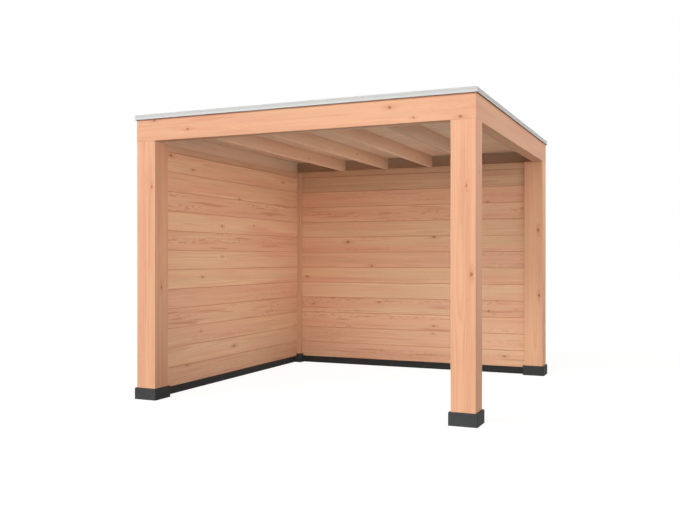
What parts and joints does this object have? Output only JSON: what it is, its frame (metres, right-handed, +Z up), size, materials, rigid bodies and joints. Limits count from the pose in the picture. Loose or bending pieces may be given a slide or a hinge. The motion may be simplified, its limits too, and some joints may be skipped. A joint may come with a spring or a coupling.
{
  "type": "patio cover",
  "caption": "Flat-roofed timber patio cover: square posts on block feet, ring beams, joists, closed left and back walls of horizontal boards, open front and right side, metal edge trim.",
  "frame": {"origin": "on the ground at the middle of the plan", "axes": "+Z up, +X to the right seen from the open front, +Y from the front to the closed back wall"},
  "size_m": [3.03, 3.03, 2.467],
  "materials": {
    "timber": "planed and untreated, fine straight grain with small knots",
    "wall_boards": "planed and untreated, each board its own tone",
    "roof_boards": "planed and untreated",
    "wall_frame": "sawn and untreated",
    "foot": "moulded, anthracite, matt with a fine grain",
    "rail": "extruded, anthracite, matt",
    "trim": "mill finish, satin",
    "membrane": "matt black sheet"
  },
  "bodies": {
    "root": {"foot_front_left": "foot", "foot_front_right": "foot", "foot_back_left": "foot", "foot_back_right": "foot", "post_front_left": "timber", "post_front_right": "timber", "post_back_left": "timber", "post_back_right": "timber", "beam_front": "timber", "beam_right": "timber", "beam_back": "timber", "beam_left": "timber", "ledger_front": "timber", "ledger_right": "timber", "ledger_back": "timber", "ledger_left": "timber", "joist_1": "timber", "joist_2": "timber", "joist_3": "timber", "joist_4": "timber", "roof_deck": "roof_boards", "roof_membrane": "membrane", "roof_upstand": "membrane", "trim_front": "trim", "trim_right": "trim", "trim_back": "trim", "trim_left": "trim", "rail_left": "rail", "rail_back": "rail", "plates_left": "wall_frame", "studs_left": "wall_frame", "plates_back": "wall_frame", "studs_back": "wall_frame", "left_wall_inner": "wall_boards", "left_wall_outer": "wall_boards", "back_wall_inner": "wall_boards", "back_wall_outer": "wall_boards"}
  },
  "joints": []
}
